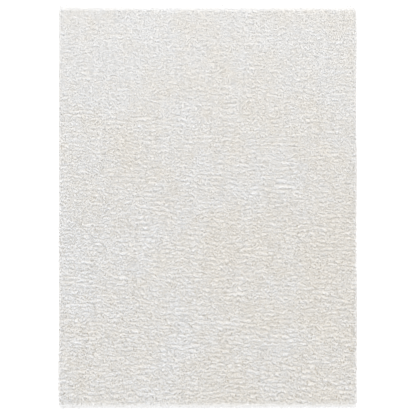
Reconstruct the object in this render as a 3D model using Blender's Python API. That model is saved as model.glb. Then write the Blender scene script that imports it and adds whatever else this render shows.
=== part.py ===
"""Ivory shag rug, 5 ft 3 in by 7 ft, lying flat with its pile up.

Metres, +Z up. The origin is on the floor under the middle of the rug, +X runs across its width and
+Y along its length. The pile's nap falls towards -Y.
"""

import math
import random
from collections import namedtuple

import bmesh
import bpy
from mathutils import Vector, noise

# Driving dimensions of the whole rug, out to the tips of its longest locks
RUG_WIDTH = 1.600
RUG_LENGTH = 2.134
PILE_TOP = 0.035

# Ground cloth: the woven sheet that the pile stands in
CLOTH_THICKNESS = 0.003
SOLID_GAP = 0.0003

# Overcast edge: the yarn that binds each long side
EDGE_DIAMETER = 0.007
EDGE_INSET = 0.0015
EDGE_ENDS_SHORT = 0.001

# How far the pile reaches past the cloth, and how far its locks reach past the pile. Neighbouring
# locks take their lengths in turn from the cycle, from 0, the shortest, to 1, the longest.
LockReach = namedtuple("LockReach", "shortest longest")
SIDE_LOCKS = LockReach(shortest=0.002, longest=0.007)
END_LOCKS = LockReach(shortest=0.005, longest=0.014)
LOCK_LENGTH_CYCLE = (0.15, 0.70, 0.35, 1.00, 0.05, 0.50, 0.25)
LOCK_DROOP = 0.0045
LOCK_SWAY = 0.2
PILE_PAST_CLOTH_END = 0.003

# The slab's rim, from the edge of its top down to the cloth. Outset is how far a ring stands out from
# the top's edge.
RimRing = namedtuple("RimRing", "outset height")
RIM_BULGE = RimRing(outset=0.010, height=0.014)
RIM_ROOT = RimRing(outset=0.003, height=CLOTH_THICKNESS + SOLID_GAP)
RIM_SHOULDER = 0.025
SHOULDER_WANDER = 0.003

# Clumps on the pile's top: a row of clumps is one crest and one furrow, and a clump is two columns wide
CLUMP_ROWS = 53
CLUMPS_ACROSS = 21
FURROW_DEPTH = 0.009
CLUMP_NOTCH = 0.005
CREST_WANDER = 0.004
CREST_LEAN = 0.005
ROW_WAVE = 0.004
ROW_WAVE_LENGTH = 0.22

# The long sides bend in and out a little
SIDE_WANDER = 0.0012
SIDE_WAVE_LENGTH = 0.71
OUTLINE_STEPS = 24

SHAPE_SEED = 53

YARN_COLOUR = (0.76, 0.74, 0.70, 1.0)
CLOTH_COLOUR = (0.62, 0.58, 0.50, 1.0)
EDGE_COLOUR = (0.72, 0.70, 0.66, 1.0)

PILE_HALF_WIDTH = RUG_WIDTH / 2 - SIDE_LOCKS.longest - SIDE_WANDER
PILE_HALF_LENGTH = RUG_LENGTH / 2 - END_LOCKS.longest
CLOTH_HALF_LENGTH = PILE_HALF_LENGTH - PILE_PAST_CLOTH_END
EDGE_MIDDLE = RUG_WIDTH / 2 - EDGE_INSET - SIDE_WANDER - EDGE_DIAMETER / 2
CLOTH_HALF_WIDTH = EDGE_MIDDLE - EDGE_DIAMETER / 2 - SOLID_GAP
GRID_COLUMNS = 2 * CLUMPS_ACROSS
GRID_ROWS = 2 * CLUMP_ROWS


def side_wander(y):
    """How far both long sides lie towards +X at this place along the rug."""
    return SIDE_WANDER * math.sin(2 * math.pi * y / SIDE_WAVE_LENGTH)


def fabric(name, colour, roughness):
    material = bpy.data.materials.new(name)
    material.use_nodes = True
    shader = material.node_tree.nodes["Principled BSDF"]
    shader.inputs["Base Color"].default_value = colour
    shader.inputs["Roughness"].default_value = roughness
    shader.inputs["Metallic"].default_value = 0.0
    material.diffuse_color = colour
    return material


def add_part(name, data, material, collection, parent):
    part = bpy.data.objects.new(name, data)
    data.materials.append(material)
    collection.objects.link(part)
    part.parent = parent
    return part


def poly_spline(curve, points, cyclic):
    spline = curve.splines.new("POLY")
    spline.points.add(len(points) - 1)
    for spot, point in zip(spline.points, points):
        spot.co = (*point, 1.0)
    spline.use_cyclic_u = cyclic


def outline_stations(half_length):
    """Places along the rug where the long sides have a point, from -Y to +Y."""
    return [half_length * (2 * step / OUTLINE_STEPS - 1) for step in range(OUTLINE_STEPS + 1)]


def ground_cloth_curve():
    curve = bpy.data.curves.new("ground_cloth", "CURVE")
    curve.dimensions = "2D"
    curve.fill_mode = "BOTH"
    curve.extrude = CLOTH_THICKNESS / 2
    stations = outline_stations(CLOTH_HALF_LENGTH)
    right = [(side_wander(y) + CLOTH_HALF_WIDTH, y, 0.0) for y in stations]
    left = [(side_wander(y) - CLOTH_HALF_WIDTH, y, 0.0) for y in reversed(stations)]
    poly_spline(curve, right + left, cyclic=True)
    return curve


def overcast_curve(name, side):
    curve = bpy.data.curves.new(name, "CURVE")
    curve.dimensions = "3D"
    curve.bevel_depth = EDGE_DIAMETER / 2
    curve.bevel_resolution = 3
    curve.use_fill_caps = True
    stations = outline_stations(CLOTH_HALF_LENGTH - EDGE_ENDS_SHORT)
    poly_spline(curve, [(side_wander(y) + side * EDGE_MIDDLE, y, 0.0) for y in stations], cyclic=False)
    return curve


def pile_top_point(column, row, chance):
    """Where a point of the pile's top lies: crests and furrows take turns, and clumps are set like bricks."""
    top_half_width = PILE_HALF_WIDTH - RIM_BULGE.outset
    top_half_length = PILE_HALF_LENGTH - RIM_BULGE.outset
    x = top_half_width * (2 * column / GRID_COLUMNS - 1)
    y = top_half_length * (2 * row / GRID_ROWS - 1)
    on_side = column in (0, GRID_COLUMNS)
    on_end = row in (0, GRID_ROWS)
    if on_side or on_end:
        height = RIM_SHOULDER + SHOULDER_WANDER * chance.uniform(-1, 1)
        return Vector((x + side_wander(y), y, height))
    clump_row = row // 2
    wave = ROW_WAVE * noise.noise(Vector((x / ROW_WAVE_LENGTH, clump_row * 0.31, 0.0)))
    wander = CREST_WANDER * chance.random()
    if row % 2:
        between_clumps = (column + clump_row) % 2
        height = PILE_TOP - between_clumps * CLUMP_NOTCH - wander
        y -= CREST_LEAN
    else:
        height = PILE_TOP - FURROW_DEPTH - wander
    return Vector((x + side_wander(y), y + wave, height))


def add_rim_ring(bm, edges, ways_out, outset_step, height):
    """Extrudes the open edges into the next ring of the rim. Returns its faces, its edges and its ways out."""
    made = bmesh.ops.extrude_edge_only(bm, edges=edges)["geom"]
    faces = [item for item in made if isinstance(item, bmesh.types.BMFace)]
    ring_verts = {item for item in made if isinstance(item, bmesh.types.BMVert)}
    ring_edges = [
        item for item in made if isinstance(item, bmesh.types.BMEdge) and ring_verts.issuperset(item.verts)
    ]
    next_ways = {}
    for vert in ring_verts:
        above = next(edge.other_vert(vert) for edge in vert.link_edges if edge.other_vert(vert) in ways_out)
        next_ways[vert] = ways_out[above]
        vert.co += outset_step * ways_out[above]
        vert.co.z = height
    return faces, ring_edges, next_ways


def pull_lock(bm, face, length_share, chance):
    """Draws one face of the rim out into a pointed lock that leans out and droops."""
    on_side = abs(face.normal.x) > abs(face.normal.y)
    way = Vector((math.copysign(on_side, face.normal.x), math.copysign(not on_side, face.normal.y), 0.0))
    reach = SIDE_LOCKS if on_side else END_LOCKS
    length = reach.shortest + (reach.longest - reach.shortest) * length_share
    along = Vector((-way.y, way.x, 0.0))
    width = max(abs((a.co - b.co).dot(along)) for a in face.verts for b in face.verts)
    outermost = max(face.verts, key=lambda vert: vert.co.dot(way)).co.dot(way)
    tip = face.calc_center_median()
    tip += way * (outermost + length - tip.dot(way))
    tip += along * width * LOCK_SWAY * chance.uniform(-1, 1)
    tip.z = RIM_BULGE.height - LOCK_DROOP * chance.random()
    drawn = bmesh.ops.extrude_discrete_faces(bm, faces=[face])["faces"]
    bmesh.ops.pointmerge(bm, verts=list(drawn[0].verts), merge_co=tip)


def pile_mesh():
    chance = random.Random(SHAPE_SEED)
    bm = bmesh.new()
    bmesh.ops.create_grid(bm, x_segments=GRID_COLUMNS, y_segments=GRID_ROWS, size=1.0)
    ways_out = {}
    for vert in bm.verts:
        column = round((vert.co.x + 1) / 2 * GRID_COLUMNS)
        row = round((vert.co.y + 1) / 2 * GRID_ROWS)
        if vert.is_boundary:
            ways_out[vert] = Vector((
                (column == GRID_COLUMNS) - (column == 0),
                (row == GRID_ROWS) - (row == 0),
                0.0,
            ))
        vert.co = pile_top_point(column, row, chance)
    open_edges = [edge for edge in bm.edges if edge.is_boundary]
    corners = {vert for vert, way in ways_out.items() if way.x and way.y}
    upper_faces, open_edges, ways_out = add_rim_ring(
        bm, open_edges, ways_out, RIM_BULGE.outset, RIM_BULGE.height
    )
    _, open_edges, ways_out = add_rim_ring(
        bm, open_edges, ways_out, RIM_ROOT.outset - RIM_BULGE.outset, RIM_ROOT.height
    )
    bmesh.ops.contextual_create(bm, geom=open_edges)
    bmesh.ops.recalc_face_normals(bm, faces=bm.faces)
    for number, face in enumerate(upper_faces):
        if corners.isdisjoint(face.verts):
            pull_lock(bm, face, LOCK_LENGTH_CYCLE[number % len(LOCK_LENGTH_CYCLE)], chance)
    bmesh.ops.recalc_face_normals(bm, faces=bm.faces)
    mesh = bpy.data.meshes.new("shag_pile")
    bm.to_mesh(mesh)
    bm.free()
    return mesh


def main():
    for thing in list(bpy.data.objects):
        bpy.data.objects.remove(thing)
    rug = bpy.data.collections.new("shag_rug")
    bpy.context.scene.collection.children.link(rug)
    floor_point = bpy.data.objects.new("rug_on_floor", None)
    rug.objects.link(floor_point)

    cloth_material = fabric("ground_weave", CLOTH_COLOUR, 0.9)
    cloth = add_part("ground_cloth", ground_cloth_curve(), cloth_material, rug, floor_point)
    cloth.location.z = CLOTH_THICKNESS / 2

    edge_material = fabric("overcast_yarn", EDGE_COLOUR, 0.8)
    for name, side in (("overcast_left", -1), ("overcast_right", 1)):
        edge = add_part(name, overcast_curve(name, side), edge_material, rug, floor_point)
        edge.location.z = EDGE_DIAMETER / 2

    pile = add_part("shag_pile", pile_mesh(), fabric("pile_yarn", YARN_COLOUR, 0.85), rug, floor_point)
    pile.data.shade_smooth()


main()
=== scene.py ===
"""Ivory shag rug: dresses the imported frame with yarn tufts, a ground weave, overcast sides and a studio.

Metres, +Z up. The rug lies on the floor with its middle over the origin, +X across and +Y along. The
pile's nap falls towards -Y.
"""

import math
from collections import namedtuple

import bmesh
import bpy
import numpy as np
from bpy.props import FloatProperty, FloatVectorProperty, IntProperty, PointerProperty
from mathutils import Matrix, Vector


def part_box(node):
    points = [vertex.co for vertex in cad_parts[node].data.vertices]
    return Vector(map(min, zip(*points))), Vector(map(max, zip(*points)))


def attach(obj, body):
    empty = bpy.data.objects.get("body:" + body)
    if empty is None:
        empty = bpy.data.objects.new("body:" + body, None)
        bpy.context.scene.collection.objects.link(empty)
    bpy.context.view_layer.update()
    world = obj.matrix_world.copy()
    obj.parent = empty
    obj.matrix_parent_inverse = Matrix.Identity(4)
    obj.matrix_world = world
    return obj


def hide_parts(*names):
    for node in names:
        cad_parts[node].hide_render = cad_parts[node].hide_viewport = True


bl_info = {
    "name": "Ivory shag rug",
    "version": (1, 0, 0),
    "blender": (4, 5, 0),
    "location": "3D View > Sidebar > Shag rug",
    "description": "Makes the rug's yarn tufts, ground weave, overcast sides and stage",
    "category": "Object",
}

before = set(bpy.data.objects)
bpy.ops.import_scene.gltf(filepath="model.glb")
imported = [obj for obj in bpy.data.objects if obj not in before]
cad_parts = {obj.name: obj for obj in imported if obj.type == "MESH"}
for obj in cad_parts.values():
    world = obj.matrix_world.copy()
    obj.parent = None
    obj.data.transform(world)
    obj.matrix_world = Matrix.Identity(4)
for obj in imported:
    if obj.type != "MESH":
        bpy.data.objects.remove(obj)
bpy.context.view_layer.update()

# The rug's sizes, from its frame
_, PILE_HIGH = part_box("shag_pile")
CLOTH_LOW, CLOTH_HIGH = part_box("ground_cloth")
_, EDGE_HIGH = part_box("overcast_right")
BODY = "root"

# A set of plane waves: radians a metre across and along the rug, and where each wave starts
Waves = namedtuple("Waves", "across along start")

# Paths of many tufts, one row of each array for a tuft. Tufts that aren't smooth have flat faces.
Tufts = namedtuple("Tufts", "root bend tip radius turn tone smooth")

# How many crests there are in a metre along the rug, how that spreads along and across it, and how many
# waves make them up
CrestRate = namedtuple("CrestRate", "along spread_along spread_across count")

# The wave fields that shape the pile
Forms = namedtuple("Forms", "crest lock sway calm rim")

# A tuft is a small bunch of yarn with a point at both ends: how many sides it has, and how far up it bends
TUFT_SIDES = 3
BEND_SHARE = 0.6

# A tuft's yarn ends lie side by side, so it is wider across the rug than it is deep. Its flatter side
# lies uppermost, give or take a twist in radians.
TUFT_WIDTH = 1.1
TUFT_DEPTH = 0.85
TUFT_TWIST = 0.35

# Where a tuft bends over: its share of the way across to the tip, and of the rise
BEND_ACROSS = 0.42
BEND_RISE = 0.80

# How single tufts differ: their length along the nap and their thickness, each as a range of shares, and
# how far their tips stand below the others
REACH_RANGE = (0.7, 1.3)
THICKNESS_RANGE = (0.8, 1.2)
TIP_UNEVEN = 0.0010

# How much the crests' height changes from calm places to rough ones, and the range that it stays in
CALM = 0.20
ROUGH_RANGE = (0.3, 1.8)

# How far down the nap a crest's tips lean
CREST_LEAN = 0.0015

# How far tips lie below the pile's full height, in crest heights: halfway up a crest, how that changes
# with the crests, and at most
DIP_MIDDLE = 0.5
DIP_SLOPE = 0.35
DIP_DEEPEST = 1.5

# How much less the crests stand out at the head than in the middle, and so more at the foot
SMOOTHER_HEAD = 0.60

# How far the nap's way turns over the rug, and from tuft to tuft, in radians
SWAY = 0.12
STRAY = 0.20

# Tufts are rooted this far above the cloth's top, at least this far in from its long sides, and each up
# to this share of the spacing off its regular place
ROOT_LIFT = 0.0006
ROOT_INSET = 0.001
ROOT_UNEVEN = 0.4

# Empty margin round each tuft in its square of the bake's map
BAKE_MARGIN = 0.08


# ---------------------------------------------------------------- sizes that a user would change


class PileSettings(bpy.types.PropertyGroup):
    """The shag pile: its tufts, its crests and locks, and its yarn."""

    spacing: FloatProperty(
        name="Tuft spacing",
        description="How far apart the tufts stand in the ground cloth",
        default=0.0052,
        min=0.004,
        unit="LENGTH",
    )
    radius: FloatProperty(
        name="Tuft radius", description="Half the thickness of a tuft", default=0.0030, unit="LENGTH"
    )
    reach: FloatProperty(
        name="Nap reach",
        description="How far a tuft's tip lies from its root",
        default=0.012,
        unit="LENGTH",
    )
    crest_height: FloatProperty(
        name="Crest height",
        description="How far a crest stands over a furrow",
        default=0.0031,
        unit="LENGTH",
    )
    crest_gather: FloatProperty(
        name="Crest gather",
        description="How far tips are drawn to a crest",
        default=0.0005,
        unit="LENGTH",
    )
    lock_gather: FloatProperty(
        name="Lock gather",
        description="How far tips are drawn together into locks",
        default=0.0015,
        unit="LENGTH",
    )
    lock_height: FloatProperty(
        name="Lock height",
        description="How far a lock stands over the gap beside it",
        default=0.0018,
        unit="LENGTH",
    )
    tone_spread: FloatProperty(
        name="Tone spread", description="How much lighter or darker single tufts are", default=0.10, min=0
    )
    bands: IntProperty(name="Bands", description="Pieces that the tufts are made in", default=5, min=1)
    seed: IntProperty(name="Seed", description="Which random pile is made", default=53)
    cool_yarn: FloatVectorProperty(
        name="Cool yarn",
        description="Colour of the whiter patches",
        default=(0.888, 0.898, 0.919),
        subtype="COLOR",
    )
    cream_yarn: FloatVectorProperty(
        name="Cream yarn",
        description="Colour of the warmer patches",
        default=(0.885, 0.867, 0.839),
        subtype="COLOR",
    )


class EdgeSettings(bpy.types.PropertyGroup):
    """The overcast long sides."""

    pitch: FloatProperty(
        name="Turn pitch", description="How far apart the yarn's turns lie", default=0.0036, unit="LENGTH"
    )
    colour: FloatVectorProperty(
        name="Edge yarn",
        description="Colour of the overcast yarn",
        default=(0.75, 0.75, 0.745),
        subtype="COLOR",
    )


class ClothSettings(bpy.types.PropertyGroup):
    """The ground cloth that the pile stands in."""

    pick: FloatProperty(
        name="Weave pick", description="Size of one crossing of the weave", default=0.0035, unit="LENGTH"
    )
    colour: FloatVectorProperty(
        name="Ground yarn",
        description="Colour of the undyed weave",
        default=(0.60, 0.55, 0.46),
        subtype="COLOR",
    )


class StageSettings(bpy.types.PropertyGroup):
    """The floor, the light and the camera."""

    frame_width: FloatProperty(
        name="Frame width",
        description="Width of what the camera sees at the rug",
        default=2.215,
        unit="LENGTH",
    )
    lens: FloatProperty(
        name="Lens", description="Focal length in millimetres", default=100.0, unit="CAMERA"
    )
    tilt_across: FloatProperty(
        name="Tilt across",
        description="How far the camera stands to the left",
        default=math.radians(0.75),
        unit="ROTATION",
    )
    tilt_along: FloatProperty(
        name="Tilt along",
        description="How far the camera stands towards -Y",
        default=math.radians(0.5),
        unit="ROTATION",
    )
    key_power: FloatProperty(
        name="Key light", description="Power of the large lamp", default=800.0, unit="POWER"
    )
    sky: FloatProperty(name="Sky light", description="Strength of the even light", default=0.985)


# ---------------------------------------------------------------- meshes


def add_piece(name, mesh, material):
    """Links a mesh as a piece of the rug that rides on its body."""
    piece = bpy.data.objects.new(name, mesh)
    mesh.materials.append(material)
    bpy.context.scene.collection.objects.link(piece)
    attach(piece, BODY)
    return piece


def mesh_of(name, points, corners, face_sizes):
    """A smooth-shaded mesh from arrays: its points, its faces' corners in one row, and each face's size."""
    mesh = bpy.data.meshes.new(name)
    mesh.vertices.add(len(points))
    mesh.vertices.foreach_set("co", np.asarray(points, np.float32).ravel())
    mesh.loops.add(len(corners))
    mesh.loops.foreach_set("vertex_index", np.asarray(corners, np.int32))
    starts = np.concatenate([[0], np.cumsum(face_sizes)[:-1]])
    mesh.polygons.add(len(face_sizes))
    mesh.polygons.foreach_set("loop_start", starts.astype(np.int32))
    mesh.update(calc_edges=True)
    mesh.polygons.foreach_set("use_smooth", np.ones(len(face_sizes), bool))
    return mesh


def add_uv(mesh, name, places):
    layer = mesh.uv_layers.new(name=name, do_init=False)
    layer.data.foreach_set("uv", np.asarray(places, np.float32).ravel())


def side_line(node):
    """The middle line of an overcast side, as its places along the rug and how far out it lies at each.

    The solid's points lie in rings, which are further apart than the yarn is thick.
    """
    points = np.array([vert.co[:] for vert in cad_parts[node].data.vertices])
    points = points[points[:, 1].argsort()]
    rings = np.split(points, np.flatnonzero(np.diff(points[:, 1]) > EDGE_HIGH.z) + 1)
    along = np.array([ring[:, 1].mean() for ring in rings])
    out = np.array([(ring[:, 0].min() + ring[:, 0].max()) / 2 for ring in rings])
    return along, out


RIGHT_SIDE = side_line("overcast_right")
LEFT_SIDE = side_line("overcast_left")


def rug_middle(y):
    """How far both long sides lie towards +X at these places along the rug."""
    return (np.interp(y, *RIGHT_SIDE) + np.interp(y, *LEFT_SIDE)) / 2


# ---------------------------------------------------------------- materials


# Most of a noise's values lie in this range
NOISE_RANGE = (0.3, 0.7)

# How much all the yarns shine, and how soft the sheen of their fibres is
YARN_SPECULAR = 0.25
SHEEN_ROUGHNESS = 0.4

# How much faster green and blue fall than red where the yarn is darker
SHADE_POWERS = (1.0, 1.2, 1.6)

# Painted shade: how dark yarn is at its root, deep in the pile, and at its tip, from this share of the
# length, where the tips give the thin dark lines below the crests
ROOT_SHADE = 0.85
TIP_PAINTED_SHADE = 0.90
TIP_SHADE_FROM = 0.65

# Two plies of yarn twist round each other this many times in a tuft, and stand out this far
PLIES = 2
PLY_TWISTS = 4.0
PLY_RELIEF = 0.0003

# Strands of yarn lie down the nap. Each is this wide and long, and up to this much darker than the palest.
STRAND_WIDTH = 0.0045
STRAND_LENGTH = 0.0100
STRAND_SHADE = 0.05

# How far in from the outline the yarn is cooler
COOL_RIM = 0.030

# How much more of the cream yarn there is for each metre to the right, and towards the foot
CREAM_RIGHT = 0.25
CREAM_FOOT = 0.12

# Sizes of the broad and the small patches of cream yarn, and how far the broad ones shift its share
BROAD_PATCH = 0.50
SMALL_PATCH = 0.10
BROAD_SHIFT = 0.35

# How dark and how pale the bed's fibres are, as shares of the yarn's colour: uneven fibres, and below 1
# throughout as painted shade of the pile's depth
BED_FIBRE_AND_PAINTED_SHADES = (0.80, 0.96)

# How dark the worn patches of overcast yarn are, and the weave's hollows, whose darkness is painted shade,
# as shares of their colours
OVERCAST_WORN = 0.9
WEAVE_HOLLOW_SHADE = 0.7

# How much the fibre adds to the weave's relief
WEAVE_FIBRE = 0.6


class NodeKit:
    """Adds nodes to one material and links them."""

    def __init__(self, name):
        self.material = bpy.data.materials.new(name)
        self.material.use_nodes = True
        self.tree = self.material.node_tree
        self.shader = self.tree.nodes["Principled BSDF"]

    def add(self, kind, **values):
        node = self.tree.nodes.new(kind)
        for name, value in values.items():
            setattr(node, name, value)
        return node

    def link(self, output, socket):
        self.tree.links.new(output, socket)

    def maths(self, operation, first, second=0.0):
        node = self.add("ShaderNodeMath", operation=operation)
        for socket, value in zip(node.inputs, (first, second)):
            if isinstance(value, (int, float)):
                socket.default_value = value
            else:
                self.link(value, socket)
        return node.outputs[0]

    def noise(self, place, size, detail=2.0, roughness=0.5):
        """Noise whose lumps are about this size in metres, from 0 to 1."""
        node = self.add("ShaderNodeTexNoise")
        node.inputs["Scale"].default_value = 1 / size
        node.inputs["Detail"].default_value = detail
        node.inputs["Roughness"].default_value = roughness
        self.link(place, node.inputs["Vector"])
        return node.outputs["Fac"]

    def spread(self, value, low, high, to_low=0.0, to_high=1.0):
        """The value's range from low to high, stretched to the other range and held there."""
        node = self.add("ShaderNodeMapRange")
        for name, number in zip(("From Min", "From Max", "To Min", "To Max"), (low, high, to_low, to_high)):
            node.inputs[name].default_value = number
        self.link(value, node.inputs["Value"])
        return node.outputs["Result"]

    def mix(self, share, first, second, blend="MIX"):
        node = self.add("ShaderNodeMix", data_type="RGBA", blend_type=blend)
        for socket, value in zip((node.inputs[0], node.inputs[6], node.inputs[7]), (share, first, second)):
            if isinstance(value, (int, float)):
                socket.default_value = value
            elif isinstance(value, bpy.types.NodeSocket):
                self.link(value, socket)
            else:
                socket.default_value = (*value, 1.0)
        return node.outputs[2]

    def warm_shade(self, colour, shade):
        """The colour times the shade. Where the shade is below 1, the colour also turns towards tan."""
        tint = self.add("ShaderNodeCombineColor")
        for socket, power in zip(tint.inputs[:3], SHADE_POWERS):
            self.link(self.maths("POWER", shade, power), socket)
        return self.mix(1.0, colour, tint.outputs[0], blend="MULTIPLY")

    def bump(self, height, distance, strength=1.0):
        node = self.add("ShaderNodeBump")
        node.inputs["Strength"].default_value = strength
        node.inputs["Distance"].default_value = distance
        self.link(height, node.inputs["Height"])
        self.link(node.outputs["Normal"], self.shader.inputs["Normal"])

    def finish(self, colour, roughness, sheen):
        self.link(colour, self.shader.inputs["Base Color"])
        self.shader.inputs["Roughness"].default_value = roughness
        self.shader.inputs["Specular IOR Level"].default_value = YARN_SPECULAR
        self.shader.inputs["Sheen Weight"].default_value = sheen
        self.shader.inputs["Sheen Roughness"].default_value = SHEEN_ROUGHNESS
        return self.material


def pile_colour(kit, settings):
    """Cool and cream patches over the whole rug, creamier to the right and the foot, cooler at the rim."""
    place = kit.add("ShaderNodeTexCoord").outputs["Object"]
    split = kit.add("ShaderNodeSeparateXYZ")
    kit.link(place, split.inputs[0])
    across, along = split.outputs["X"], split.outputs["Y"]
    broad = kit.spread(kit.noise(place, BROAD_PATCH, detail=1.0), *NOISE_RANGE, -BROAD_SHIFT, BROAD_SHIFT)
    small = kit.spread(kit.noise(place, SMALL_PATCH, detail=3.0, roughness=0.8), *NOISE_RANGE)
    to_right = kit.maths("MULTIPLY", across, CREAM_RIGHT)
    to_head = kit.maths("MULTIPLY", along, CREAM_FOOT)
    drift = kit.maths("SUBTRACT", to_right, to_head)
    share = kit.spread(kit.maths("ADD", kit.maths("ADD", broad, small), drift), 0.0, 1.0)
    for side, limit in ((across, PILE_HIGH.x), (along, PILE_HIGH.y)):
        inner = kit.spread(kit.maths("ABSOLUTE", side), limit - COOL_RIM, limit, 1.0, 0.0)
        share = kit.maths("MULTIPLY", share, inner)
    return kit.mix(share, tuple(settings.cool_yarn), tuple(settings.cream_yarn))


def tuft_material(settings):
    """Matt two-ply yarn in patches of cream. Each tuft has its own random tone, with painted light on crest
    and lock tops and painted shade in their furrows, and painted shade darkens it to its root and tip.
    """
    kit = NodeKit("pile_yarn_tufts")
    colour = pile_colour(kit, settings)
    # Each tuft's random tone, with painted light on crest and lock tops and painted shade in their furrows
    tone = kit.add("ShaderNodeAttribute", attribute_name="tone").outputs["Fac"]
    yarn = kit.add("ShaderNodeUVMap", uv_map="yarn").outputs["UV"]
    split = kit.add("ShaderNodeSeparateXYZ")
    kit.link(yarn, split.inputs[0])
    # Painted shade: the yarn darkens towards its root, deep in the pile, and towards its tip, where the tips
    # give the thin dark lines below the crests
    depth = kit.spread(split.outputs["Y"], 0.0, BEND_SHARE, ROOT_SHADE, 1.0)
    darkened = kit.spread(split.outputs["Y"], TIP_SHADE_FROM, 1.0, 1.0, TIP_PAINTED_SHADE)
    shade = kit.maths("MULTIPLY", tone, kit.maths("MULTIPLY", depth, darkened))
    down_nap = kit.add("ShaderNodeVectorMath", operation="MULTIPLY")
    down_nap.inputs[1].default_value = (1.0, STRAND_WIDTH / STRAND_LENGTH, 1.0)
    kit.link(kit.add("ShaderNodeTexCoord").outputs["Object"], down_nap.inputs[0])
    strand = kit.noise(down_nap.outputs["Vector"], STRAND_WIDTH, detail=0.0)
    shade = kit.maths("MULTIPLY", shade, kit.spread(strand, *NOISE_RANGE, 1 - STRAND_SHADE, 1.0))
    colour = kit.warm_shade(colour, shade)
    turns = kit.maths("ADD", split.outputs["X"], kit.maths("MULTIPLY", split.outputs["Y"], PLY_TWISTS))
    ply = kit.maths("SINE", kit.maths("MULTIPLY", turns, PLIES * 2 * math.pi))
    kit.bump(ply, PLY_RELIEF, strength=0.5)
    return kit.finish(colour, roughness=0.85, sheen=0.15)


def bed_material(settings):
    """The pile's depth between tufts: the same yarn with a fibrous lumpy surface, darker all over as painted
    shade of the pile's depth.
    """
    kit = NodeKit("pile_yarn_bed")
    colour = pile_colour(kit, settings)
    place = kit.add("ShaderNodeTexCoord").outputs["Object"]
    fibre = kit.noise(place, size=0.004, detail=3.0)
    # Uneven fibres, and painted shade: the whole bed is darker than the tufts, for the pile's depth
    shade = kit.spread(fibre, *NOISE_RANGE, *BED_FIBRE_AND_PAINTED_SHADES)
    kit.bump(fibre, distance=0.002)
    return kit.finish(kit.warm_shade(colour, shade), roughness=0.9, sheen=0.1)


def overcast_material(settings):
    """Wrapped yarn with a fine fibre, a little worn in patches."""
    kit = NodeKit("overcast_yarn_turns")
    place = kit.add("ShaderNodeTexCoord").outputs["Object"]
    fibre = kit.noise(place, size=0.0012, detail=4.0)
    patch = kit.spread(kit.noise(place, size=0.05), *NOISE_RANGE)
    darkened = tuple(OVERCAST_WORN * part for part in settings.colour)
    colour = kit.mix(kit.maths("MULTIPLY", patch, fibre), tuple(settings.colour), darkened)
    kit.bump(fibre, distance=0.0004)
    return kit.finish(colour, roughness=0.85, sheen=0.15)


def weave_material(settings):
    """Plain weave of undyed yarn: each crossing is a raised pick, over and under in turn, with painted shade
    in the hollows between them.
    """
    kit = NodeKit("ground_weave_plain")
    place = kit.add("ShaderNodeTexCoord").outputs["Object"]
    split = kit.add("ShaderNodeSeparateXYZ")
    kit.link(place, split.inputs[0])
    turn = math.pi / settings.pick
    across = kit.maths("SINE", kit.maths("MULTIPLY", split.outputs["X"], turn))
    along = kit.maths("SINE", kit.maths("MULTIPLY", split.outputs["Y"], turn))
    crossing = kit.maths("MULTIPLY", across, along)
    fibre = kit.noise(place, size=0.002, detail=4.0)
    relief = kit.maths("ADD", crossing, kit.maths("MULTIPLY", fibre, WEAVE_FIBRE))
    share = kit.spread(relief, low=-0.8, high=1.4)
    # Painted shade in the weave's hollows
    dark = tuple(WEAVE_HOLLOW_SHADE * part for part in settings.colour)
    kit.bump(relief, distance=0.0006)
    return kit.finish(kit.mix(share, dark, tuple(settings.colour)), roughness=0.9, sheen=0.05)


# ---------------------------------------------------------------- the pile's form

# The pile rounds off towards the outline over each of these lengths, down to a rim of this height
Shoulder = namedtuple("Shoulder", "length rim")
SIDE_SHOULDER = Shoulder(length=0.022, rim=0.011)
HEAD_SHOULDER = Shoulder(length=0.026, rim=0.013)
FOOT_SHOULDER = Shoulder(length=0.030, rim=0.033)

# Tufts near the outline fan out over it. A fan starts this far inside the cloth's edge. At that edge a tip
# goes out by a length in this range: besides its way down the nap at the sides, instead of it at the ends.
SIDE_FAN = 0.020
END_FAN = 0.004
SIDE_REACH = (0.000, 0.007)
END_REACH = (0.024, 0.049)

# Extra tufts fill the fringe at both ends, this far apart and this many times over. Their roots keep clear
# of the cloth's long sides, and lie in this range in from its ends.
END_TUFT_GAP = 0.0035
END_TUFT_ROWS = 6
END_ROOT_CLEAR = 0.004
END_ROOT_INSET = (0.0005, 0.004)

# Tips that lie further than this past the cloth belong to the fringe
FRINGE_FROM = 0.004

# How far the fringe stands past the solid pile's ends, and how far the shorter tufts stop before that at
# the ends and at the long sides
END_PROUD = 0.026
END_RAGGED = 0.007
SIDE_RAGGED = 0.003

# How unevenly the outline runs, and how far and over what length its corners are rounded
OUTLINE_WAVER = 0.0012
CORNER_CUT = 0.006
CORNER_LENGTH = 0.050

# Crests run across the rug
SHORT_CRESTS = CrestRate(along=45, spread_along=10, spread_across=38, count=56)
LONG_CRESTS = CrestRate(along=39, spread_along=8, spread_across=6, count=48)

# Locks are a few tufts drawn together, wider than they are long
LOCKS = CrestRate(along=60, spread_along=14, spread_across=50, count=64)

# Painted light and shade: how much paler tufts are at the tops of crests and of locks, and darker in the
# furrows between them
CREST_PAINTED_LIGHT = 0.05
LOCK_PAINTED_LIGHT = 0.02

# The palest that a tuft may be, so that the uneven ones are the darker ones
TONE_TOP = 1.02

# The pile is smoother over this length at the foot, where the nap lies out over the fringe
FOOT_BAND = 0.045

# Wavelengths in metres
SWAY_LENGTH = (0.04, 0.20)
CALM_LENGTH = (0.06, 0.30)
RIM_LENGTH = (0.03, 0.35)
WAVE_COUNT = 48

# The bed under the tips: its grid, which runs from -1 to 1 and has its edge past this, how far its top
# stops before the cloth's edges, and the lowest that it goes
BED_COLUMNS, BED_ROWS = 110, 146
AT_EDGE = 0.999
BED_INSET = 0.006
BED_FLOOR = CLOTH_HIGH.z + 0.0003

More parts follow.
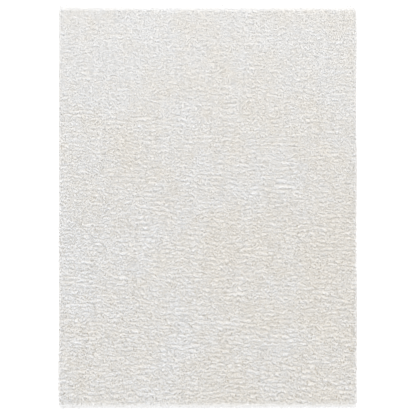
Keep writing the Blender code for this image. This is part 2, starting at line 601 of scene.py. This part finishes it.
# How high the bed's top stands, as a share of the pile's height: in the middle, how much more at the head,
# and at the ends, over this length
BED_SHARE = 0.757
BED_HEAD_MORE = 0.02
BED_END_SHARE = 0.80
BED_END_LENGTH = 0.035

# The bed's rim, each ring by how far it lies out from the one above, across and along the rug, and by its
# share of the pile's height there
BedRing = namedtuple("BedRing", "out_x out_y share")
BED_RINGS = (
    BedRing(out_x=0.0065, out_y=0.027, share=0.76),
    BedRing(out_x=0.0, out_y=0.002, share=0.40),
    BedRing(out_x=-0.0065, out_y=-0.021, share=0.0),
)

# Overcast yarn: a wrap's sides, how thick it is between two turns, and how far its turns lean, in pitches
OVERCAST_SIDES = 8
OVERCAST_WAIST = 0.78
OVERCAST_LEAN = 0.6

# The ground cloth's grid. Its sides bend, so its box is wider than it is, and this much comes off each side.
GROUND_COLUMNS, GROUND_ROWS = 24, 48
GROUND_TRIM = 0.0010534

# The last band of tufts ends this far past the cloth, so that it holds the last row
BAND_MARGIN = 0.001


def crest_waves(rates, chance):
    """Waves whose crests run across the rug, from each of these rates."""
    parts = []
    for rate in rates:
        along = np.maximum(chance.normal(rate.along, rate.spread_along, rate.count), rate.along / 2)
        across = chance.normal(0, rate.spread_across, rate.count)
        parts.append(np.stack([across, along, chance.uniform(0, 1, rate.count)]))
    return Waves(*(2 * np.pi * np.concatenate(parts, 1)))


def round_waves(length, chance, count=WAVE_COUNT):
    """Waves that run every way, with lengths in this range."""
    shortest, longest = length
    rate = 2 * np.pi * chance.uniform(1 / longest, 1 / shortest, count)
    way = chance.uniform(0, 2 * np.pi, count)
    return Waves(rate * np.cos(way), rate * np.sin(way), chance.uniform(0, 2 * np.pi, count))


def wave_height(waves, x, y):
    """The waves' sum at these places, about -2 to 2."""
    phase = np.outer(x, waves.across) + np.outer(y, waves.along) + waves.start
    return np.cos(phase).sum(1) * math.sqrt(2 / len(waves.start))


def wave_slope(waves, x, y):
    """The slope of the waves' sum across and along the rug, scaled to about -2 to 2."""
    phase = np.outer(x, waves.across) + np.outer(y, waves.along) + waves.start
    rate = np.sqrt(np.mean(waves.across**2 + waves.along**2))
    fall = -np.sin(phase) * math.sqrt(2 / len(waves.start)) / rate
    return np.stack([(fall * waves.across).sum(1), (fall * waves.along).sum(1)], 1)


def fade(distance, length):
    """1 where the distance is 0, falling evenly to 0 where it is this length."""
    return np.clip(1 - distance / length, 0, 1)


def rise(distance, shoulder):
    """The pile's height this far in from the outline, as a share of its full height."""
    share = np.clip(distance / shoulder.length, 0, 1)
    rim_share = shoulder.rim / PILE_HIGH.z
    return rim_share + (1 - rim_share) * share * (2 - share)


def pile_ceiling(x, y):
    """How high the pile may stand: full height inside, and rounded down to the rims at the outline."""
    sides = rise(PILE_HIGH.x - np.abs(x - rug_middle(y)), SIDE_SHOULDER)
    ends = rise(PILE_HIGH.y - y, HEAD_SHOULDER) * rise(PILE_HIGH.y + y, FOOT_SHOULDER)
    return PILE_HIGH.z * sides * ends


def side_limit(y, rim):
    """How far from the middle tips may reach at the long sides."""
    return PILE_HIGH.x - OUTLINE_WAVER * (1 + np.clip(wave_height(rim, y * 0, y), -1, 1))


def end_limit(x, rim):
    """How far from the middle tips may reach at the ends: a little less at the corners."""
    from_corner = PILE_HIGH.x - np.abs(x)
    waver = OUTLINE_WAVER * (1 + np.clip(wave_height(rim, x, x * 0), -1, 1))
    return PILE_HIGH.y + END_PROUD - waver - CORNER_CUT * fade(from_corner, CORNER_LENGTH) ** 2


def tuft_roots(low_y, high_y, spacing, chance):
    """Where tufts stand between two places along the ground cloth: staggered rows, a little uneven."""
    row_gap = spacing * math.sqrt(3) / 2
    rows = np.arange(CLOTH_LOW.y + row_gap / 2, CLOTH_HIGH.y, row_gap)
    rows = rows[(rows >= low_y) & (rows < high_y)]
    half = CLOTH_HIGH.x - spacing / 2
    count = int(2 * half / spacing)
    column = np.linspace(-half, half, count)
    stagger = (np.round((rows - CLOTH_LOW.y) / row_gap) % 2 - 0.5) * spacing / 2
    x = (column[None, :] + stagger[:, None]).ravel()
    y = np.repeat(rows, count)
    x += chance.uniform(-ROOT_UNEVEN, ROOT_UNEVEN, len(x)) * spacing + rug_middle(y)
    y += chance.uniform(-ROOT_UNEVEN, ROOT_UNEVEN, len(y)) * spacing
    limit = CLOTH_HIGH.x - ROOT_INSET
    return np.clip(x, rug_middle(y) - limit, rug_middle(y) + limit), np.clip(y, CLOTH_LOW.y, CLOTH_HIGH.y)


def end_roots(sign, chance):
    """Where the extra tufts stand that fill the pile's fringe at one end of the cloth."""
    half = CLOTH_HIGH.x - END_ROOT_CLEAR
    x = np.tile(np.arange(-half, half, END_TUFT_GAP), END_TUFT_ROWS)
    x += chance.uniform(-0.5, 0.5, len(x)) * END_TUFT_GAP
    y = sign * (CLOTH_HIGH.y - chance.uniform(*END_ROOT_INSET, len(x)))
    return x, y


def tuft_reach(x, y, settings, forms, chance):
    """How far each tuft's tip lies from its root: down the nap, fanned out at the rim."""
    count = len(x)
    way = -math.pi / 2 + SWAY * wave_height(forms.sway, x, y) + chance.normal(0, STRAY, count)
    reach = settings.reach * chance.uniform(*REACH_RANGE, count)
    go_x, go_y = reach * np.cos(way), reach * np.sin(way)
    side_share = fade(CLOTH_HIGH.x - np.abs(x - rug_middle(y)), SIDE_FAN)
    go_x += np.sign(x) * side_share * chance.uniform(*SIDE_REACH, count)
    end_share = fade(CLOTH_HIGH.y - np.abs(y), END_FAN)
    go_y += end_share * (np.sign(y) * chance.uniform(*END_REACH, count) - go_y)
    return go_x, go_y


def tuft_paths(x, y, settings, forms, chance):
    """Each tuft's path: up from the cloth, over at a bend, and down the nap to its tip."""
    count = len(x)
    go_x, go_y = tuft_reach(x, y, settings, forms, chance)
    tip_x, tip_y = x + go_x, y + go_y
    foot = fade(PILE_HIGH.y + tip_y, FOOT_BAND)
    rough = np.clip(1 + CALM * wave_height(forms.calm, x, y), *ROUGH_RANGE)
    rough *= (1 - SMOOTHER_HEAD * y / PILE_HIGH.y) * (1 - foot)
    crest, lock = wave_height(forms.crest, tip_x, tip_y), wave_height(forms.lock, tip_x, tip_y)
    drawn = settings.crest_gather * wave_slope(forms.crest, tip_x, tip_y)
    drawn += settings.lock_gather * wave_slope(forms.lock, tip_x, tip_y)
    drawn *= rough[:, None]
    drawn[:, 1] -= CREST_LEAN * rough * crest
    side = side_limit(y, forms.rim) - SIDE_RAGGED * chance.random(count)
    end = end_limit(x, forms.rim) - END_RAGGED * chance.random(count)
    tip_x = np.clip(tip_x + drawn[:, 0], -side, side)
    tip_y = np.clip(tip_y + drawn[:, 1], -end, end)

    ceiling = pile_ceiling(tip_x, tip_y)
    dip = settings.crest_height * np.clip(DIP_MIDDLE - DIP_SLOPE * rough * crest, 0, DIP_DEEPEST)
    dip += settings.lock_height * np.clip(1 - rough * lock, 0, 2) / 2 + chance.uniform(0, TIP_UNEVEN, count)
    tip_z = ceiling - dip * ceiling / PILE_HIGH.z - settings.radius / 2

    root = np.stack([x, y, np.full(count, CLOTH_HIGH.z + ROOT_LIFT)], 1)
    tip = np.stack([tip_x, tip_y, tip_z], 1)
    bend = root + (tip - root) * np.array([BEND_ACROSS, BEND_ACROSS, 0.0])
    bend[:, 2] = root[:, 2] + (tip_z - root[:, 2]) * BEND_RISE
    radius = settings.radius * chance.uniform(*THICKNESS_RANGE, count)
    own_tone = chance.normal(0, settings.tone_spread, count)
    # A tuft's own random tone, plus painted light on the tops of crests and locks and painted shade in the
    # furrows between them
    tone = np.minimum(1 + rough * (own_tone + CREST_PAINTED_LIGHT * crest + LOCK_PAINTED_LIGHT * lock), TONE_TOP)
    turn = np.pi / TUFT_SIDES + chance.normal(0, TUFT_TWIST, count)

    # Smooth shading darkens tips that point away from the lamp, so the foot's fringe has flat faces.
    smooth = tip_y > CLOTH_LOW.y - FRINGE_FROM
    return Tufts(root, bend, tip, radius, turn, tone, smooth)


def unit(vectors):
    return vectors / np.linalg.norm(vectors, axis=1, keepdims=True)


def bend_ring(tufts):
    """The tufts' corners round their bends: one array for each corner."""
    path = tufts.tip - tufts.root
    over = unit(np.cross(path, np.array([1.0, 0.0, 0.0])))
    across = np.cross(unit(path), over)
    corners = []
    for corner in range(TUFT_SIDES):
        angle = (tufts.turn + corner * 2 * np.pi / TUFT_SIDES)[:, None]
        way = TUFT_DEPTH * np.cos(angle) * over + TUFT_WIDTH * np.sin(angle) * across
        corners.append(tufts.bend + tufts.radius[:, None] * way)
    return corners


def tufts_mesh(name, tufts):
    """One mesh of closed tufts: each widens from a point at its root to its bend, and ends in a point."""
    count = len(tufts.radius)
    points = np.stack([*bend_ring(tufts), tufts.root, tufts.tip], 1)

    # One tuft's faces: corners are numbered round the bend, then the root and the tip.
    root, tip = TUFT_SIDES, TUFT_SIDES + 1
    faces, places = [], []
    for side in range(TUFT_SIDES):
        after = (side + 1) % TUFT_SIDES
        left, right = side / TUFT_SIDES, (side + 1) / TUFT_SIDES
        faces.append((root, after, side))
        places += [((left + right) / 2, 0.0), (right, BEND_SHARE), (left, BEND_SHARE)]
        faces.append((side, after, tip))
        places += [(left, BEND_SHARE), (right, BEND_SHARE), ((left + right) / 2, 1.0)]

    points_each = points.shape[1]
    corners = np.concatenate(faces)
    all_corners = (corners[None, :] + points_each * np.arange(count)[:, None]).ravel()
    face_sizes = np.tile([len(face) for face in faces], count)
    mesh = mesh_of(name, points.reshape(-1, 3), all_corners, face_sizes)
    mesh.polygons.foreach_set("use_smooth", np.repeat(tufts.smooth, len(faces)))
    place = np.array(places)
    add_uv(mesh, "yarn", np.tile(place, (count, 1)))

    # The bake's map gives each tuft a square of its own.
    columns = math.ceil(math.sqrt(count))
    square = np.stack([np.arange(count) % columns, np.arange(count) // columns], 1)
    inside = BAKE_MARGIN + (1 - 2 * BAKE_MARGIN) * place
    add_uv(mesh, "OFBake", (square[:, None, :] + inside[None, :, :]) / columns)
    mesh.uv_layers.active = mesh.uv_layers["yarn"]
    # Each tuft's random tone, with painted light and shade from the crests and locks
    tone = mesh.attributes.new("tone", "FLOAT", "POINT")
    tone.data.foreach_set("value", np.repeat(tufts.tone, points_each).astype(np.float32))
    return mesh


def ring_below(bm, rim, ways_out):
    """Makes a new ring of the open rim, in the same place. Returns its edges and each point's way out."""
    made = bmesh.ops.extrude_edge_only(bm, edges=rim)["geom"]
    points = {item for item in made if isinstance(item, bmesh.types.BMVert)}
    edges = [item for item in made if isinstance(item, bmesh.types.BMEdge) and points.issuperset(item.verts)]
    next_ways = {}
    for vert in points:
        joined = (edge.other_vert(vert) for edge in vert.link_edges)
        next_ways[vert] = next(ways_out[other] for other in joined if other in ways_out)
    return edges, next_ways


def bed_mesh():
    """The pile's depth under its tips: a closed lumpy body that bulges out over the cloth's edges."""
    bm = bmesh.new()
    bmesh.ops.create_grid(bm, x_segments=BED_COLUMNS, y_segments=BED_ROWS, size=1.0)
    half_x, half_y = CLOTH_HIGH.x - BED_INSET, CLOTH_HIGH.y - BED_INSET
    places = np.array([vert.co[:] for vert in bm.verts])
    x = places[:, 0] * half_x + rug_middle(places[:, 1] * half_y)
    y = places[:, 1] * half_y
    at_end = fade(PILE_HIGH.y - np.abs(y), BED_END_LENGTH)
    inside = BED_SHARE + BED_HEAD_MORE * np.clip(y / PILE_HIGH.y, 0, 1)
    top = (inside + (BED_END_SHARE - inside) * at_end) * pile_ceiling(x, y)
    ways_out = {}
    for vert, place, spot in zip(bm.verts, places, np.stack([x, y, top], 1)):
        if vert.is_boundary:
            ways_out[vert] = [part * (abs(part) > AT_EDGE) for part in place[:2]]
        vert.co = spot
    rim = [edge for edge in bm.edges if edge.is_boundary]
    for ring in BED_RINGS:
        rim, ways_out = ring_below(bm, rim, ways_out)
        for vert, (way_x, way_y) in ways_out.items():
            vert.co.x += ring.out_x * way_x
            vert.co.y += ring.out_y * way_y
            vert.co.z = max(ring.share * float(pile_ceiling(vert.co.x, vert.co.y)), BED_FLOOR)
    bmesh.ops.contextual_create(bm, geom=rim)
    bmesh.ops.recalc_face_normals(bm, faces=bm.faces)
    mesh = bpy.data.meshes.new("pile_bed")
    bm.to_mesh(mesh)
    bm.free()
    mesh.shade_smooth()
    return mesh


def overcast_mesh(name, line, settings):
    """Yarn wrapped round a long side: a tube that swells at each turn and leans with the wrapping."""
    sides = OVERCAST_SIDES
    low, high = line[0][0], line[0][-1]
    radius = EDGE_HIGH.z / 2
    turns = int((high - low) / settings.pitch)
    y = np.linspace(low, high, 2 * turns + 1)
    swell = np.where(np.arange(len(y)) % 2, radius, OVERCAST_WAIST * radius)
    angle = np.arange(sides) * 2 * np.pi / sides
    out = np.interp(y, *line)
    lean = OVERCAST_LEAN * settings.pitch * np.cos(angle)[None, :] * np.ones((len(y), 1))
    lean[0], lean[-1] = 0, 0
    points = np.stack([
        out[:, None] + swell[:, None] * np.cos(angle)[None, :],
        y[:, None] + lean,
        radius + swell[:, None] * np.sin(angle)[None, :],
    ], 2).reshape(-1, 3)
    ring = np.arange(sides)
    after = (ring + 1) % sides
    wall = np.stack([ring, ring + sides, after + sides, after], 1)
    walls = (wall[None] + sides * np.arange(len(y) - 1)[:, None, None]).reshape(-1)
    caps = np.concatenate([ring, (len(y) - 1) * sides + ring[::-1]])
    sizes = [4] * ((len(y) - 1) * sides) + [sides, sides]
    return mesh_of(name, points, np.concatenate([walls, caps]), sizes)


def ground_mesh():
    """The ground cloth: a thin flat sheet whose long sides follow the overcast yarn."""
    bm = bmesh.new()
    bmesh.ops.create_grid(bm, x_segments=GROUND_COLUMNS, y_segments=GROUND_ROWS, size=1.0)
    half_x = CLOTH_HIGH.x - GROUND_TRIM
    for vert in bm.verts:
        y = vert.co.y * CLOTH_HIGH.y
        vert.co = (vert.co.x * half_x + rug_middle(y), y, CLOTH_HIGH.z)
    made = bmesh.ops.extrude_face_region(bm, geom=bm.faces[:])["geom"]
    for item in made:
        if isinstance(item, bmesh.types.BMVert):
            item.co.z = CLOTH_LOW.z
    bmesh.ops.recalc_face_normals(bm, faces=bm.faces)
    mesh = bpy.data.meshes.new("ground_weave")
    bm.to_mesh(mesh)
    bm.free()
    return mesh


# ---------------------------------------------------------------- operators


class RUG_OT_ground(bpy.types.Operator):
    """Makes the woven ground cloth"""

    bl_idname = "rug.ground"
    bl_label = "Ground cloth"

    def execute(self, context):
        material = weave_material(context.scene.rug_cloth)
        piece = add_piece("ground_weave", ground_mesh(), material)
        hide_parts("ground_cloth")
        return {"FINISHED"}


class RUG_OT_overcast(bpy.types.Operator):
    """Wraps yarn round both long sides"""

    bl_idname = "rug.overcast"
    bl_label = "Overcast sides"

    def execute(self, context):
        settings = context.scene.rug_edge
        material = overcast_material(settings)
        for name, line in (("overcast_left", LEFT_SIDE), ("overcast_right", RIGHT_SIDE)):
            mesh = overcast_mesh(name + "_turns", line, settings)
            piece = add_piece(name + "_turns", mesh, material)
            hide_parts(name)
        return {"FINISHED"}


class RUG_OT_pile(bpy.types.Operator):
    """Makes the pile's bed and its bands of yarn tufts"""

    bl_idname = "rug.pile"
    bl_label = "Shag pile"

    def execute(self, context):
        settings = context.scene.rug_pile
        chance = np.random.default_rng(settings.seed)
        crests = crest_waves((SHORT_CRESTS, LONG_CRESTS), chance)
        locks = crest_waves((LOCKS,), chance)
        rounds = [round_waves(length, chance) for length in (SWAY_LENGTH, CALM_LENGTH, RIM_LENGTH)]
        forms = Forms(crests, locks, *rounds)
        bed = add_piece("pile_bed", bed_mesh(), bed_material(settings))
        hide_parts("shag_pile")
        material = tuft_material(settings)
        ends = np.linspace(CLOTH_LOW.y, CLOTH_HIGH.y + BAND_MARGIN, settings.bands + 1)
        for band in range(settings.bands):
            x, y = tuft_roots(ends[band], ends[band + 1], settings.spacing, chance)
            if band in (0, settings.bands - 1):
                more_x, more_y = end_roots(1 if band else -1, chance)
                x, y = np.append(x, more_x), np.append(y, more_y)
            tufts = tuft_paths(x, y, settings, forms, chance)
            name = f"pile_tufts_{band + 1}"
            add_piece(name, tufts_mesh(name, tufts), material)
        return {"FINISHED"}


class RUG_OT_stage(bpy.types.Operator):
    """Sets the pale floor, the soft light and the camera over the rug"""

    bl_idname = "rug.stage"
    bl_label = "Stage"

    def execute(self, context):
        scene, settings = context.scene, context.scene.rug_stage
        scene.view_settings.view_transform = "Standard"
        add_floor()
        add_lights(settings)
        scene.world = sky(settings)
        scene.camera = add_camera(settings)
        return {"FINISHED"}


# The lamp hangs past the rug's head. Its size is given across and along.
KEY_PLACE = Vector((-0.45, 8.25, 12.0))
KEY_SIZE = (6.0, 3.75)

# The lamp is a little cooler than the even light, so that the pile's shadows are warm
KEY_TINT = (0.95, 0.985, 1.06)
SKY_TINT = (1.005, 1.0, 0.99)

# The camera's middle, and how far it sees
CAMERA_TARGET = Vector((0.0, -0.0090, PILE_HIGH.z / 2))
VIEW_DEPTH = 200

# The floor's size, shade and roughness, how much it glows by itself, so that it stays white in the rug's
# shadow, and how far it lies under the rug
FLOOR_RADIUS = 60
FLOOR_SHADE = 0.9
FLOOR_ROUGHNESS = 0.9
FLOOR_GLOW = 0.7
FLOOR_DROP = 0.0005


def add_floor():
    mesh = bpy.data.meshes.new("floor")
    bm = bmesh.new()
    bmesh.ops.create_circle(bm, cap_ends=True, segments=64, radius=FLOOR_RADIUS)
    bm.to_mesh(mesh)
    bm.free()
    material = bpy.data.materials.new("studio_white")
    material.use_nodes = True
    shader = material.node_tree.nodes["Principled BSDF"]
    shader.inputs["Base Color"].default_value = (FLOOR_SHADE, FLOOR_SHADE, FLOOR_SHADE, 1)
    shader.inputs["Roughness"].default_value = FLOOR_ROUGHNESS
    shader.inputs["Emission Color"].default_value = (1, 1, 1, 1)
    shader.inputs["Emission Strength"].default_value = FLOOR_GLOW
    mesh.materials.append(material)
    floor = bpy.data.objects.new("floor", mesh)
    floor.location.z = -FLOOR_DROP
    bpy.context.scene.collection.objects.link(floor)


def add_lights(settings):
    lamp = bpy.data.lights.new("key_light", "AREA")
    lamp.shape = "RECTANGLE"
    lamp.size, lamp.size_y = KEY_SIZE
    lamp.energy = settings.key_power
    lamp.color = KEY_TINT
    key = bpy.data.objects.new("key_light", lamp)
    key.location = KEY_PLACE
    key.rotation_euler = (-KEY_PLACE).to_track_quat("-Z", "Y").to_euler()
    key.visible_camera = False
    bpy.context.scene.collection.objects.link(key)


def sky(settings):
    world = bpy.data.worlds.new("studio_sky")
    world.use_nodes = True
    light = world.node_tree.nodes["Background"]
    light.inputs["Color"].default_value = (*SKY_TINT, 1.0)
    light.inputs["Strength"].default_value = settings.sky
    return world


def add_camera(settings):
    data = bpy.data.cameras.new("camera")
    data.lens = settings.lens
    camera = bpy.data.objects.new("camera", data)
    distance = settings.frame_width * settings.lens / data.sensor_width
    back = Vector((-math.tan(settings.tilt_across), -math.tan(settings.tilt_along), 1)).normalized()
    camera.location = CAMERA_TARGET + distance * back
    right = Vector((0, 1, 0)).cross(back).normalized()
    camera.rotation_euler = Matrix((right, back.cross(right), back)).transposed().to_euler()
    data.clip_end = VIEW_DEPTH
    bpy.context.scene.collection.objects.link(camera)
    return camera


class RUG_PT_panel(bpy.types.Panel):
    """Lists the rug's operators and sizes"""

    bl_idname = "RUG_PT_panel"
    bl_label = "Shag rug"
    bl_space_type = "VIEW_3D"
    bl_region_type = "UI"
    bl_category = "Shag rug"

    def draw(self, context):
        for operator, group in STEPS:
            box = self.layout.box()
            box.operator(operator.bl_idname)
            settings = getattr(context.scene, group)
            for name in settings.__annotations__:
                box.prop(settings, name)


GROUPS = {
    "rug_cloth": ClothSettings,
    "rug_edge": EdgeSettings,
    "rug_pile": PileSettings,
    "rug_stage": StageSettings,
}
STEPS = (
    (RUG_OT_ground, "rug_cloth"),
    (RUG_OT_overcast, "rug_edge"),
    (RUG_OT_pile, "rug_pile"),
    (RUG_OT_stage, "rug_stage"),
)


def register():
    for name, group in GROUPS.items():
        bpy.utils.register_class(group)
        setattr(bpy.types.Scene, name, PointerProperty(type=group))
    for operator, _ in STEPS:
        bpy.utils.register_class(operator)
    bpy.utils.register_class(RUG_PT_panel)


def unregister():
    bpy.utils.unregister_class(RUG_PT_panel)
    for operator, _ in reversed(STEPS):
        bpy.utils.unregister_class(operator)
    for name, group in reversed(GROUPS.items()):
        delattr(bpy.types.Scene, name)
        bpy.utils.unregister_class(group)


def main():
    register()
    bpy.ops.rug.ground()
    bpy.ops.rug.overcast()
    bpy.ops.rug.pile()
    bpy.ops.rug.stage()


if __name__ == "__main__":
    main()
